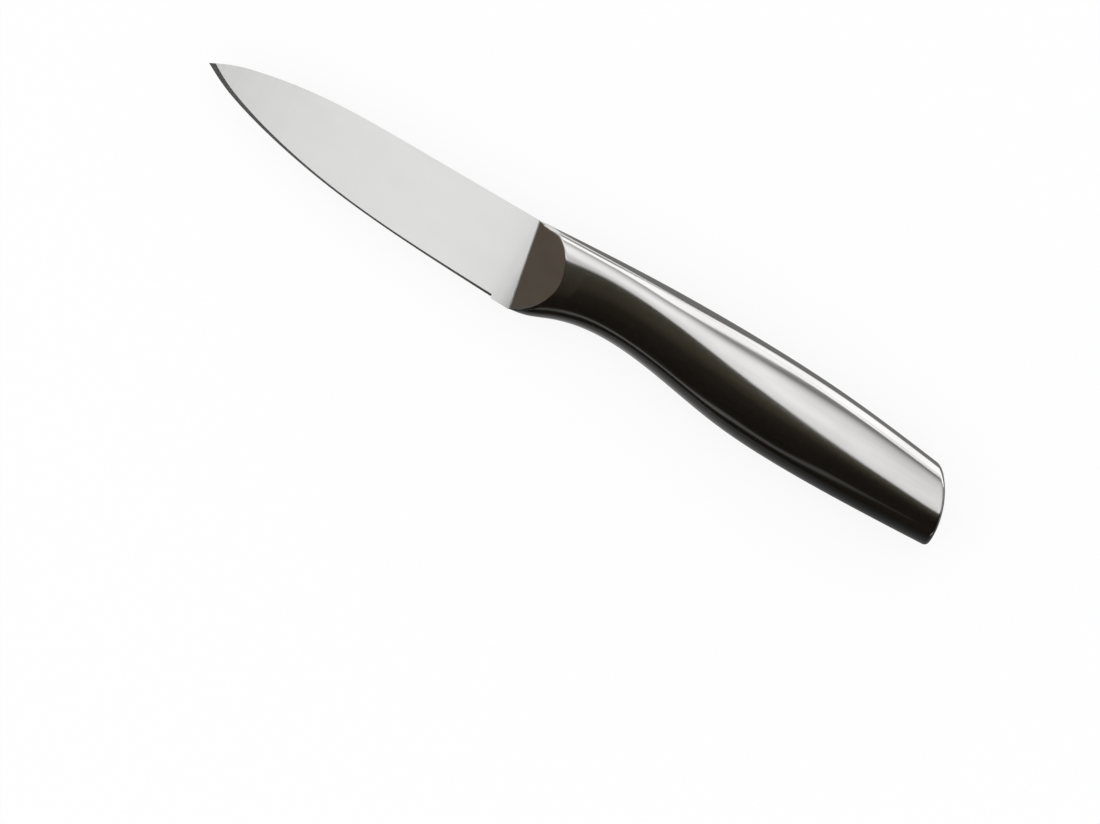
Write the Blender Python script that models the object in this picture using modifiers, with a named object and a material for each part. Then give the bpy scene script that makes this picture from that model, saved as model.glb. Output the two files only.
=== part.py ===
"""All-steel paring knife: a flat-ground blade with a stub tang, a solid bolster and a hollow welded handle.

Lengths are in metres. The knife is drawn lying on its side: the blade's tip points to -X, the butt to +X,
the spine to +Y and the cutting edge to -Y. X is measured from the line where the blade meets the bolster,
at the height JOINT_Y, and Z from the blade's middle plane. The empty at the end of the script then brings
the whole knife onto its resting plane.

The handle is one long form, an oval section that changes along X. Every piece of it takes its surface from
that form, so a changed size moves the bolster, the shells, the welds, the cap and the weight together.
"""
import math

import bmesh
import bpy
import numpy as np
from mathutils import Matrix, Vector

# Blade
BLADE_LENGTH = 0.0885
TIP_Y = 0.0001
SPINE_THICKNESS = 0.0020
HEEL_THICKNESS = 0.00038
TIP_TAPER = 0.00022
BEVEL_ANGLE = math.radians(20)
TANG_LENGTH = 0.0130
TANG_TOP = 0.0055
TANG_BOTTOM = -0.0055

# Unsharpened heel: its length, its drop below the ground edge, and the run of the step between them
HEEL_FLAT = 0.0048
HEEL_DROP = 0.0004
HEEL_STEP = 0.0004

# Line where the blade meets the bolster: its height at X = 0, and its lean back toward the edge
JOINT_Y = -0.0019
FRONT_LEAN = math.radians(12.0)

# Bolster
BOLSTER_LENGTH = 0.0185
RAMP_ANGLE = math.radians(24)
RAMP_LIP = 0.00015
SPIGOT_LENGTH = 0.0050

# Hollow handle
HANDLE_LENGTH = 0.1160
WALL = 0.0010
WELD_WIDTH = 0.0010
BUTT_RADIUS = 0.0247
BUTT_CENTRE_Y = -0.0082
BUTT_EDGE_RADIUS = 0.0011
CAP_THICKNESS = 0.0032
CAP_LIP = 0.0030

# Balance weight inside the butt
WEIGHT_LENGTH = 0.0110
WEIGHT_CLEARANCE = 0.0020

# Room left between pieces that seat on each other
SEAT_GAP = 0.0003

# Blade's spine, as distance from the tip and height
BLADE_SPINE = (
    (0.0, TIP_Y),
    (0.0050, 0.0025),
    (0.0120, 0.0046),
    (0.0220, 0.00655),
    (0.0340, 0.0078),
    (0.0520, 0.0084),
    (0.0870, 0.0090),
)

# Cutting edge, as distance from the tip and height
BLADE_EDGE = (
    (0.0, TIP_Y),
    (0.0050, -0.00235),
    (0.0120, -0.0048),
    (0.0240, -0.0077),
    (0.0400, -0.0102),
    (0.0600, -0.0117),
    (0.0845, -0.01235),
)

# Handle's upper line, from the bolster's front over the hump to the butt
HANDLE_TOP = (
    (-0.0015, 0.00905),
    (0.0275, 0.0113),
    (0.0535, 0.01215),
    (0.0815, 0.01155),
    (0.1095, 0.0089),
)

# Handle's lower line, from the heel through the finger waist and the swell to the butt
HANDLE_BOTTOM = (
    (0.0020, -0.01275),
    (0.0065, -0.0119),
    (0.0115, -0.00985),
    (0.0185, -0.00775),
    (0.0285, -0.0070),
    (0.0445, -0.0087),
    (0.0585, -0.01065),
    (0.0725, -0.01127),
    (0.0915, -0.01078),
    (0.1155, -0.0093),
)

# Handle's half thickness, growing from the bolster to the palm
HANDLE_SIDE = (
    (-0.0015, 0.0047),
    (0.0093, 0.0053),
    (0.0215, 0.0061),
    (0.0515, 0.0078),
    (0.0815, 0.0085),
    (0.1165, 0.0083),
)

# How far the thickest line stands above the middle, as a share of the half height
CREST_RISE = (
    (-0.0015, 0.15),
    (0.0265, 0.12),
    (0.0615, 0.05),
    (0.1165, 0.0),
)

# Squareness of the section toward the spine and toward the belly: 2 is an ellipse
SPINE_SQUARENESS = (
    (-0.0015, 2.9),
    (0.0215, 2.6),
    (0.0535, 2.15),
    (0.1165, 2.4),
)
BELLY_SQUARENESS = (
    (-0.0015, 2.0),
    (0.0285, 2.2),
    (0.1165, 2.3),
)

# Faces along and around each form
AROUND = 48
BEAD_STEPS = 4
SHELL_STEPS = 22
BOLSTER_STEPS = 9
BLADE_STEPS = 16
RIM_STEPS = 4
FACE_RINGS = 3
WEIGHT_STEPS = 5
MERGE = 1e-7
SMOOTH_ANGLE = math.radians(35)

# How strongly the blade's sections crowd toward the tip: 1 is even
BLADE_CROWDING = 1.3

# Run over which the cutting edge's slope is taken
SLOPE_RUN = 0.0005

# Share of the butt's radius that its arc is followed for, clear of the arc's end
BUTT_ARC_SHARE = 0.9

# Rounds of the searches for where the bevel reaches the spine and for a place on the butt
HALVINGS = 40
SETTLE_ROUNDS = 8

# Cutters: their reach, and how far the one ahead of the bolster stands over the blade's side
CUTTER_REACH = 0.060
FRONT_CUT_RISE = 0.0030

STEEL_COLOUR = (0.70, 0.69, 0.67)
WELD_COLOUR = (0.66, 0.65, 0.63)
CORE_COLOUR = (0.45, 0.44, 0.43)


def smooth_curve(points):
    """A natural cubic curve through the points, carried on straight past its ends."""
    x, y = (np.array(column) for column in zip(*points))
    step = np.diff(x)
    rise = np.diff(y) / step
    last = len(x) - 1
    rows = np.eye(last + 1)
    right = np.zeros(last + 1)
    for i in range(1, last):
        rows[i, i - 1 : i + 2] = step[i - 1], 2 * (step[i - 1] + step[i]), step[i]
        right[i] = 6 * (rise[i] - rise[i - 1])
    bend = np.linalg.solve(rows, right)

    def height(at):
        inside = min(max(at, x[0]), x[-1])
        i = min(int(np.searchsorted(x, inside, side="right")) - 1, last - 1)
        i = max(i, 0)
        run = inside - x[i]
        slope = rise[i] - step[i] * (2 * bend[i] + bend[i + 1]) / 6
        turn = (bend[i + 1] - bend[i]) / step[i]
        value = y[i] + slope * run + bend[i] * run**2 / 2 + turn * run**3 / 6
        end_slope = slope + bend[i] * run + turn * run**2 / 2
        return float(value + end_slope * (at - inside))

    return height


blade_spine = smooth_curve(BLADE_SPINE)
blade_edge = smooth_curve(BLADE_EDGE)
handle_top = smooth_curve(HANDLE_TOP)
handle_bottom = smooth_curve(HANDLE_BOTTOM)
handle_side = smooth_curve(HANDLE_SIDE)
crest_rise = smooth_curve(CREST_RISE)
spine_squareness = smooth_curve(SPINE_SQUARENESS)
belly_squareness = smooth_curve(BELLY_SQUARENESS)


def front_x(y):
    """X of the line between blade and bolster at this height."""
    return (JOINT_Y - y) * math.tan(FRONT_LEAN)


def butt_x(y):
    """X of the butt's end at this height: an arc whose furthest point is the handle's end."""
    across = min(abs(y - BUTT_CENTRE_Y), BUTT_ARC_SHARE * BUTT_RADIUS)
    return HANDLE_LENGTH - BUTT_RADIUS + math.sqrt(BUTT_RADIUS**2 - across**2)


# Blade


def grind_slopes():
    """Slopes of the blade's flat side along X and Y, and its height at the tip's station."""
    top_y = blade_spine(BLADE_LENGTH)
    bottom_y = blade_edge(BLADE_LENGTH)
    across = (SPINE_THICKNESS - HEEL_THICKNESS) / 2 / (top_y - bottom_y)
    along = TIP_TAPER / BLADE_LENGTH
    return along, across, SPINE_THICKNESS / 2 - across * top_y


def blade_side_z(x, y):
    """Height of the blade's flat side over its middle plane."""
    along, across, level = grind_slopes()
    return level + across * y + along * x


def bevel_top(x, low):
    """Height at which the cutting bevel, climbing from the edge, meets the flat side, and its climb."""
    from_tip = x + BLADE_LENGTH
    slope = (blade_edge(from_tip + SLOPE_RUN) - blade_edge(from_tip)) / SLOPE_RUN
    climb = math.tan(BEVEL_ANGLE) / math.hypot(1, slope)
    across = grind_slopes()[1]
    return low + blade_side_z(x, low) / (climb - across), climb


def blade_ring(x, top, shoulder, low, top_z, shoulder_z, low_z):
    """One section of the blade, going round from the spine's left corner to its right one."""
    left = [(x(top), top, top_z), (x(shoulder), shoulder, shoulder_z), (x(low), low, low_z)]
    return left + [(a, b, -c) for a, b, c in reversed(left)]


def ground_ring(from_tip):
    """A section of the sharpened blade at this distance from the tip."""
    x = from_tip - BLADE_LENGTH
    top, low = blade_spine(from_tip), blade_edge(from_tip)
    shoulder, climb = bevel_top(x, low)
    if shoulder >= top:
        top_z = (top - low) * climb
        return blade_ring(lambda y: x, top, top, low, top_z, top_z, 0.0)
    return blade_ring(
        lambda y: x, top, shoulder, low, blade_side_z(x, top), blade_side_z(x, shoulder), 0.0
    )


def full_tip():
    """Distance from the tip at which the cutting bevel reaches the spine."""
    near, far = 0.0, BLADE_LENGTH / 2
    for _ in range(HALVINGS):
        middle = (near + far) / 2
        shoulder, _ = bevel_top(middle - BLADE_LENGTH, blade_edge(middle))
        if shoulder > blade_spine(middle):
            near = middle
        else:
            far = middle
    return far


def slab_ring(x, top, low, extra=0.0):
    """A section of the unsharpened blade, with square corners."""
    top_z = blade_side_z(x(top), top) + extra
    low_z = blade_side_z(x(low), low) + extra
    return blade_ring(x, top, low, low, top_z, low_z, low_z)


def blade_rings():
    """Sections of the blade from the tip to the end of the tang."""
    heel_low = blade_edge(BLADE_LENGTH) - HEEL_DROP
    heel_start = BLADE_LENGTH + front_x(heel_low) - HEEL_FLAT
    first = full_tip()
    rings = [[(-BLADE_LENGTH, TIP_Y, 0.0)] * 6, ground_ring(first / 2)]
    for i in range(BLADE_STEPS + 1):
        share = (i / BLADE_STEPS) ** BLADE_CROWDING
        rings.append(ground_ring(first + share * (heel_start - HEEL_STEP - first)))
    start_x = heel_start - BLADE_LENGTH
    rings.append(slab_ring(lambda y: start_x, blade_spine(heel_start), heel_low))
    spine_y = blade_spine(BLADE_LENGTH + front_x(blade_spine(BLADE_LENGTH)))
    rings.append(slab_ring(front_x, spine_y, heel_low))
    rings.append(slab_ring(front_x, TANG_TOP, TANG_BOTTOM))
    rings.append(slab_ring(lambda y: TANG_LENGTH, TANG_TOP, TANG_BOTTOM))
    return rings


def slot_rings():
    """Sections of the cutter that frees the blade's back and the tang's pocket in the bolster."""

    reach = CUTTER_REACH / 2

    def behind(y):
        return front_x(y) + SEAT_GAP

    def before(y):
        return front_x(y) - reach

    pocket_top, pocket_bottom = TANG_TOP + SEAT_GAP, TANG_BOTTOM - SEAT_GAP
    return [
        slab_ring(before, reach, -reach, FRONT_CUT_RISE),
        slab_ring(behind, reach, -reach, FRONT_CUT_RISE),
        slab_ring(behind, pocket_top, pocket_bottom, SEAT_GAP),
        slab_ring(lambda y: TANG_LENGTH + SEAT_GAP, pocket_top, pocket_bottom, SEAT_GAP),
    ]


# Handle's form


def handle_point(x, angle, inset=0.0):
    """A point of the handle's section: angle 0 is the spine, a quarter turn the left side, a half turn the
    belly."""
    top, bottom = handle_top(x) - inset, handle_bottom(x) + inset
    middle, half = (top + bottom) / 2, (top - bottom) / 2
    toward_spine = (1 + math.cos(angle)) / 2
    squareness = belly_squareness(x) * (1 - toward_spine) + spine_squareness(x) * toward_spine
    rise = math.copysign(abs(math.cos(angle)) ** (2 / squareness), math.cos(angle))
    out = math.copysign(abs(math.sin(angle)) ** (2 / squareness), math.sin(angle))
    y = middle + half * (rise + crest_rise(x) * out**2)
    return x, y, (handle_side(x) - inset) * out


def butt_point(depth, angle, inset=0.0):
    """The handle's point at this depth in from the curved butt."""
    x = HANDLE_LENGTH - depth
    for _ in range(SETTLE_ROUNDS):
        x = butt_x(handle_point(x, angle, inset)[1]) - depth
    return handle_point(x, angle, inset)


def span_point(share, angle, front, depth, inset=0.0):
    """A point between the plane at front, share 0, and the surface at this depth from the butt, share 1."""
    end_x = butt_point(depth, angle, inset)[0]
    return handle_point(front + share * (end_x - front), angle, inset)


def angle_at(x, z, at_belly):
    """The section's angle where its left side stands at height z, near the spine or near the belly."""
    squareness = belly_squareness(x) if at_belly else spine_squareness(x)
    angle = math.asin((z / handle_side(x)) ** (squareness / 2))
    return math.pi - angle if at_belly else angle


def full_turn():
    return [2 * math.pi * i / AROUND for i in range(AROUND)]


def ring(x, inset=0.0):
    return [handle_point(x, angle, inset) for angle in full_turn()]


def butt_ring(depth, inset=0.0):
    return [butt_point(depth, angle, inset) for angle in full_turn()]


# Meshes


def material(name, colour, roughness):
    made = bpy.data.materials.new(name)
    made.use_nodes = True
    shader = made.node_tree.nodes["Principled BSDF"]
    shader.inputs["Base Color"].default_value = (*colour, 1.0)
    shader.inputs["Roughness"].default_value = roughness
    shader.inputs["Metallic"].default_value = 1.0
    return made


def new_object(name, mesh_data, collection, look=None):
    made = bpy.data.objects.new(name, mesh_data)
    collection.objects.link(made)
    if look:
        mesh_data.materials.append(look)
    return made


def mesh_from(name, rows, closed_rows, caps):
    """A mesh of quads between rows of points, each row closed or open, with its ends capped if asked."""
    bm = bmesh.new()
    grid = [[bm.verts.new(point) for point in row] for row in rows]
    for row, following in zip(grid, grid[1:]):
        count = len(row)
        for i in range(count if closed_rows else count - 1):
            j = (i + 1) % count
            bm.faces.new((row[i], row[j], following[j], following[i]))
    if caps:
        bm.faces.new(grid[0])
        bm.faces.new(tuple(reversed(grid[-1])))
    bmesh.ops.remove_doubles(bm, verts=bm.verts, dist=MERGE)
    bmesh.ops.dissolve_degenerate(bm, edges=bm.edges, dist=MERGE)
    if caps:
        bmesh.ops.recalc_face_normals(bm, faces=bm.faces)
    made = bpy.data.meshes.new(name)
    bm.to_mesh(made)
    bm.free()
    return made


def smooth(obj):
    obj.data.shade_smooth()
    obj.data.set_sharp_from_angle(angle=SMOOTH_ANGLE)


def solid(name, rings, collection, look=None):
    """A closed solid through the rings."""
    made = new_object(name, mesh_from(name, rings, closed_rows=True, caps=True), collection, look)
    smooth(made)
    return made


def skin(name, rows, closed_rows, collection, look):
    """A sheet on the handle's surface, given the wall's thickness inward."""
    made = new_object(name, mesh_from(name, rows, closed_rows, caps=False), collection, look)
    smooth(made)
    wall = made.modifiers.new("wall", "SOLIDIFY")
    wall.thickness = WALL
    wall.offset = -1
    wall.use_even_offset = True
    return made


def cut(obj, cutter, name):
    boolean = obj.modifiers.new(name, "BOOLEAN")
    boolean.operation = "DIFFERENCE"
    boolean.solver = "EXACT"
    boolean.object = cutter


def hide_cutter(obj):
    obj.hide_render = True
    obj.display_type = "WIRE"


# Pieces


def make_blade(collection, look):
    return solid("blade", blade_rings(), collection, look)


def ramp_cutter(side, collection):
    """A block lying on one of the bolster's two slanted front faces."""
    lift = SEAT_GAP + RAMP_LIP
    low, high = (
        Vector((front_x(y) + SEAT_GAP, y, side * (blade_side_z(front_x(y), y) + lift)))
        for y in (TANG_BOTTOM, TANG_TOP)
    )
    along = (high - low).normalized()
    level = along.cross(Vector((0, 0, 1))).normalized()
    up = side * level.cross(along)
    climb = math.cos(RAMP_ANGLE) * level + math.sin(RAMP_ANGLE) * up
    normal = math.cos(RAMP_ANGLE) * up - math.sin(RAMP_ANGLE) * level
    bpy.ops.mesh.primitive_cube_add(size=1.0)
    block = bpy.context.active_object
    block.name = "cutter_ramp_left" if side > 0 else "cutter_ramp_right"
    columns = Matrix((climb, along, climb.cross(along))).transposed().to_4x4()
    centre = (low + high) / 2 + normal * CUTTER_REACH / 2
    scale = Matrix.Diagonal((2 * CUTTER_REACH, 2 * CUTTER_REACH, CUTTER_REACH, 1.0))
    block.data.transform(Matrix.Translation(centre) @ columns @ scale)
    for owner in block.users_collection:
        owner.objects.unlink(block)
    collection.objects.link(block)
    hide_cutter(block)
    return block


def make_bolster(collection, cutters, look):
    """The solid collar between blade and handle, stepped down behind to a spigot inside the shells."""
    front = front_x(handle_top(0)) - SEAT_GAP
    rings = [
        ring(front + (BOLSTER_LENGTH - front) * i / BOLSTER_STEPS) for i in range(BOLSTER_STEPS + 1)
    ]
    spigot = WALL + SEAT_GAP
    rings.append(ring(BOLSTER_LENGTH, spigot))
    rings.append(ring(BOLSTER_LENGTH + SPIGOT_LENGTH, spigot))
    bolster = solid("bolster", rings, collection, look)
    slot = solid("cutter_tang_slot", slot_rings(), cutters)
    hide_cutter(slot)
    cut(bolster, slot, "tang slot")
    for side, name in ((1, "left ramp"), (-1, "right ramp")):
        cut(bolster, ramp_cutter(side, cutters), name)
    return bolster


def shell_front():
    """X where the shells start: past the bolster, its ring weld and the gaps on both sides of the bead."""
    return BOLSTER_LENGTH + WELD_WIDTH + 2 * SEAT_GAP


def shell_depth():
    """Depth from the butt where the shells end, ahead of the cap and its ring weld."""
    return CAP_THICKNESS + WELD_WIDTH + 2 * SEAT_GAP


def make_shell(name, side, collection, look):
    """Half of the hollow handle, from the spine's seam round one side to the belly's seam."""
    seam = WELD_WIDTH / 2 + SEAT_GAP
    rows = []
    for i in range(SHELL_STEPS + 1):
        share = i / SHELL_STEPS
        middle_x = shell_front() + share * (HANDLE_LENGTH - shell_depth() - shell_front())
        first = angle_at(middle_x, seam, at_belly=False)
        last = angle_at(middle_x, seam, at_belly=True)
        count = AROUND // 2 - 1
        angles = [side * (first + (last - first) * k / count) for k in range(count + 1)]
        points = [span_point(share, a, shell_front(), shell_depth()) for a in angles]
        rows.append(points if side > 0 else points[::-1])
    return skin(name, rows, False, collection, look)


def make_seam_weld(name, at_belly, collection, look):
    """The bead that joins the shells along the spine or along the belly, ground flush outside."""
    rows = []
    for i in range(SHELL_STEPS + 1):
        share = i / SHELL_STEPS
        middle_x = shell_front() + share * (HANDLE_LENGTH - shell_depth() - shell_front())
        points = []
        for k in range(BEAD_STEPS + 1):
            z = WELD_WIDTH * (k / BEAD_STEPS - 0.5)
            angle = math.copysign(angle_at(middle_x, abs(z), at_belly), z)
            points.append(span_point(share, angle, shell_front(), shell_depth()))
        rows.append(points[::-1] if at_belly else points)
    return skin(name, rows, False, collection, look)


def make_bolster_weld(collection, look):
    rows = [ring(BOLSTER_LENGTH + SEAT_GAP + share * WELD_WIDTH) for share in (0.0, 1.0)]
    return skin("bolster_ring_weld", rows, True, collection, look)


def make_butt_weld(collection, look):
    first = CAP_THICKNESS + SEAT_GAP
    rows = [butt_ring(first + share * WELD_WIDTH) for share in (1.0, 0.0)]
    return skin("butt_ring_weld", rows, True, collection, look)


def cap_front():
    """X of the flat inner end of the cap's plug, which is shortest under the spine."""
    return butt_point(CAP_THICKNESS + CAP_LIP, 0.0)[0]


def make_cap(collection, look):
    """The curved end plate, with a rounded rim outside and a plug that centres it in the shells."""
    lip = WALL + SEAT_GAP
    rings = [ring(cap_front(), lip), butt_ring(CAP_THICKNESS, lip), butt_ring(CAP_THICKNESS)]
    for i in range(RIM_STEPS + 1):
        turn = math.pi / 2 * i / RIM_STEPS
        back = BUTT_EDGE_RADIUS * (1 - math.sin(turn))
        rings.append(butt_ring(back, BUTT_EDGE_RADIUS * (1 - math.cos(turn))))
    rim = rings[-1]
    centre_y = sum(point[1] for point in rim) / len(rim)
    for i in range(1, FACE_RINGS + 1):
        share = 1 - i / FACE_RINGS
        flat = [(centre_y + share * (y - centre_y), share * z) for _, y, z in rim]
        rings.append([(butt_x(y), y, z) for y, z in flat])
    return solid("butt_cap", rings, collection, look)


def make_weight(collection, look):
    """The steel slug welded behind the cap, which moves the balance back toward the hand."""
    inset = WALL + WEIGHT_CLEARANCE
    back = cap_front() - SEAT_GAP
    rings = [ring(back - WEIGHT_LENGTH * (1 - i / WEIGHT_STEPS), inset) for i in range(WEIGHT_STEPS + 1)]
    return solid("balance_weight", rings, collection, look)


def world_box(objects):
    """Lowest and highest corners of the objects as they are evaluated."""
    bpy.context.view_layer.update()
    graph = bpy.context.evaluated_depsgraph_get()
    corners = []
    for obj in objects:
        evaluated = obj.evaluated_get(graph)
        corners += [evaluated.matrix_world @ Vector(corner) for corner in evaluated.bound_box]
    points = np.array(corners)
    return points.min(axis=0), points.max(axis=0)


def main():
    for obj in list(bpy.data.objects):
        bpy.data.objects.remove(obj, do_unlink=True)
    knife = bpy.data.collections.new("paring_knife")
    cutters = bpy.data.collections.new("cutters")
    for collection in (knife, cutters):
        bpy.context.scene.collection.children.link(collection)

    ground = material("ground_blade_steel", STEEL_COLOUR, 0.30)
    polished = material("polished_handle_steel", STEEL_COLOUR, 0.18)
    forged = material("polished_bolster_steel", STEEL_COLOUR, 0.20)
    capped = material("polished_cap_steel", STEEL_COLOUR, 0.20)
    bead = material("ground_weld", WELD_COLOUR, 0.22)
    core = material("bare_weight_steel", CORE_COLOUR, 0.55)

    pieces = [
        make_blade(knife, ground),
        make_bolster(knife, cutters, forged),
        make_shell("handle_shell_left", 1, knife, polished),
        make_shell("handle_shell_right", -1, knife, polished),
        make_seam_weld("spine_seam_weld", False, knife, bead),
        make_seam_weld("belly_seam_weld", True, knife, bead),
        make_bolster_weld(knife, bead),
        make_butt_weld(knife, bead),
        make_cap(knife, capped),
        make_weight(knife, core),
    ]

    low, high = world_box(pieces)
    resting = bpy.data.objects.new("resting_frame", None)
    knife.objects.link(resting)
    resting.location = (-(low[0] + high[0]) / 2, -(low[1] + high[1]) / 2, -low[2])
    for piece in pieces + list(cutters.objects):
        piece.parent = resting


main()
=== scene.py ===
"""Looks of the all-steel paring knife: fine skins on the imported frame's form, steel and a white studio.

Lengths are in metres. The knife's form is worked out as the part's source does, with X from the line where
the blade meets the bolster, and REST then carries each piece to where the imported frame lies. The studio's
cards are given in the frame's own X, Y and Z.
"""
import math

import bmesh
import bpy
import numpy as np
from mathutils import Matrix, Vector


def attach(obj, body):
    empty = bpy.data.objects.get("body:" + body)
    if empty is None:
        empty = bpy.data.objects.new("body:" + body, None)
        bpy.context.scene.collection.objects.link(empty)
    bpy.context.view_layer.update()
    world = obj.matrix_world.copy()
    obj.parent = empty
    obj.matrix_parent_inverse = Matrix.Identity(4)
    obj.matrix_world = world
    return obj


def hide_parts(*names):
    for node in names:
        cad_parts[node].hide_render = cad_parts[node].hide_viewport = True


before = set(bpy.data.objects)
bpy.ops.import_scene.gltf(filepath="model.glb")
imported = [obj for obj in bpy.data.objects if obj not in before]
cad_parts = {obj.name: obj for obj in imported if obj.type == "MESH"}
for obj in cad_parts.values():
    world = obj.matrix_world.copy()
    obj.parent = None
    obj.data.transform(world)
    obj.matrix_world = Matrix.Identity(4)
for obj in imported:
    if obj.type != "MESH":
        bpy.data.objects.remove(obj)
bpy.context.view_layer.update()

# Blade
BLADE_LENGTH = 0.0885
TIP_Y = 0.0001
SPINE_THICKNESS = 0.0020
HEEL_THICKNESS = 0.00038
TIP_TAPER = 0.00022
BEVEL_ANGLE = math.radians(20)
HEEL_FLAT = 0.0048
HEEL_DROP = 0.0004
HEEL_STEP = 0.0004
JOINT_Y = -0.0019
FRONT_LEAN = math.radians(12.0)

# Bolster: a steep lip climbs from the blade's side to the ramp, whose edge is rounded. Toward the spine it is
# rounder by the joint, and between the two distances behind the joint that fades out
BOLSTER_LENGTH = 0.0185
RAMP_ANGLE = math.radians(24)
RAMP_START = 0.00030
RAMP_RISE = 0.00045
LIP_ANGLE = math.radians(65)
LIP_ROUND = 0.00012
EDGE_ROUND = 0.00035
CORNER_ROUND = 0.0015
CORNER_REACH = (0.0030, 0.0060)
# The skin's slope counts up to this for the width of the round
STEEPEST = 1.5
SPIGOT_LENGTH = 0.0050
SPIGOT_INSET = 0.0013

# Hollow handle
HANDLE_LENGTH = 0.1160
WALL = 0.0010
WELD_WIDTH = 0.0010
WELD_ROOM = 0.0003
BUTT_RADIUS = 0.0247
BUTT_CENTRE_Y = -0.0082
BUTT_EDGE_RADIUS = 0.0011
CAP_THICKNESS = 0.0032
CAP_LIP = 0.0030

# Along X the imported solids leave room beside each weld. Here the pieces meet in the middle of it, and only
# between the blade and the bolster's front is a fine gap left
FRONT_WELD = BOLSTER_LENGTH + WELD_ROOM / 2
SHELL_FRONT = FRONT_WELD + WELD_WIDTH + WELD_ROOM
BUTT_WELD = CAP_THICKNESS + WELD_ROOM / 2
SHELL_DEPTH = BUTT_WELD + WELD_WIDTH + WELD_ROOM
JOINT_GAP = 0.00002

# Blade's spine and cutting edge, as distance from the tip and height
BLADE_SPINE = (
    (0.0, TIP_Y),
    (0.0050, 0.0025),
    (0.0120, 0.0046),
    (0.0220, 0.00655),
    (0.0340, 0.0078),
    (0.0520, 0.0084),
    (0.0870, 0.0090),
)
BLADE_EDGE = (
    (0.0, TIP_Y),
    (0.0050, -0.00235),
    (0.0120, -0.0048),
    (0.0240, -0.0077),
    (0.0400, -0.0102),
    (0.0600, -0.0117),
    (0.0845, -0.01235),
)

# Handle's upper and lower line and its half thickness, by X. The crest's rise is the share of the half depth
# by which the widest line stands over the middle. A squareness of 2 makes that half of a section an ellipse
HANDLE_TOP = (
    (-0.0015, 0.00905),
    (0.0275, 0.0113),
    (0.0535, 0.01215),
    (0.0815, 0.01155),
    (0.1095, 0.0089),
)
HANDLE_BOTTOM = (
    (0.0020, -0.01275),
    (0.0065, -0.0119),
    (0.0115, -0.00985),
    (0.0185, -0.00775),
    (0.0285, -0.0070),
    (0.0445, -0.0087),
    (0.0585, -0.01065),
    (0.0725, -0.01127),
    (0.0915, -0.01078),
    (0.1155, -0.0093),
)
HANDLE_SIDE = (
    (-0.0015, 0.0047),
    (0.0093, 0.0053),
    (0.0215, 0.0061),
    (0.0515, 0.0078),
    (0.0815, 0.0085),
    (0.1165, 0.0083),
)
CREST_RISE = (
    (-0.0015, 0.15),
    (0.0265, 0.12),
    (0.0615, 0.05),
    (0.1165, 0.0),
)
SPINE_SQUARENESS = (
    (-0.0015, 2.9),
    (0.0215, 2.6),
    (0.0535, 2.15),
    (0.1165, 2.4),
)
BELLY_SQUARENESS = (
    (-0.0015, 2.0),
    (0.0285, 2.2),
    (0.1165, 2.3),
)

# Faces along and around each form. The bolster's crowd toward its front by this power
AROUND = 256
SEAM_FACES = 8
WELD_FACES = 2
SHELL_FACES = 200
BOLSTER_FACES = 150
FRONT_CROWDING = 1.5
BLADE_FACES = 160
CAP_FACES = 6
RIM_FACES = 14
BUTT_FACES = 18

# Points closer than this become one, and edges that turn by more than this stay sharp
MERGE = 1e-7
SHARP_ANGLE = math.radians(12)

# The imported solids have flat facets, so the true curve is drawn in by this to stay within them
FACET_ROOM = 0.000015

# Small steps for slopes, and how closely a face has to follow the form to be shaded by it
SLOPE_RUN = 0.0005
NORMAL_RUN = 2e-5
NORMAL_TURN = 1e-3
NO_LENGTH = 1e-20
SAME_SIDE = 0.9
FORM = "form_normal"

# Rounds in which a place on the form is found, and how much of its radius the butt's arc is followed for
HALVINGS = 40
SETTLE_ROUNDS = 8
BUTT_ARC_SHARE = 0.9

# Steel: noise keeps mostly within this range, and scratches are this deep. Patches and lines have about this
# many in a metre along X, Y and Z. Lines run along the handle and across the blade, but not on the weight
NOISE_RANGE = (0.30, 0.70)
NOISE_DETAIL = 2.0
SCRATCH_DEPTH = 0.000004
PATCHES = (45.0, 160.0, 160.0)
LENGTHWISE = (22.0, 1900.0, 1900.0)
CROSSWISE = (1700.0, 45.0, 45.0)
EVEN = (900.0, 900.0, 900.0)

# Photograph: the tip's place in its pixels, its scale on the blade's middle plane, and the knife's lean
PHOTO_SIZE = (1100, 824)
TIP_PIXEL = (209.0, 62.9)
METRES_PER_PIXEL = 0.23669e-3
PHOTO_LEAN = math.radians(31.35)
CAMERA_DISTANCE = 2.0
SENSOR = 0.036
MILLIMETRES = 1000

# Studio: how bright things are where 1 is white, and the attribute that carries a card's brightness
WHITE = 1.0
FLOOR_WHITE = 0.97
FLOOR_OWN_WHITE = 0.85
FLOOR_HALF = 6.0
FLOOR_FACES = 12
DARK_GLOW = (0.0088, 0.0071, 0.0050)
GLOW = "glow"

# Heights of the cards over the floor. Where two overlap, the one to be seen is lower by a card step or two
LOW_CARD_Z = 0.045
HIGH_CARD_Z = 0.100
RAMP_CARD_Z = 0.300
COLLAR_FLAG_Z = 0.020
CARD_STEP = 0.0005
BUTT_CARD_Z = HIGH_CARD_Z + 2 * CARD_STEP
BLADE_LIGHT_Z = HIGH_CARD_Z - CARD_STEP
BELLY_STRIP_Z = HIGH_CARD_Z - 2 * CARD_STEP
FLOOR_CARD_Z = -0.001
UNDER_FLOOR_Z = -0.002
CARD_FACES = 40

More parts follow.
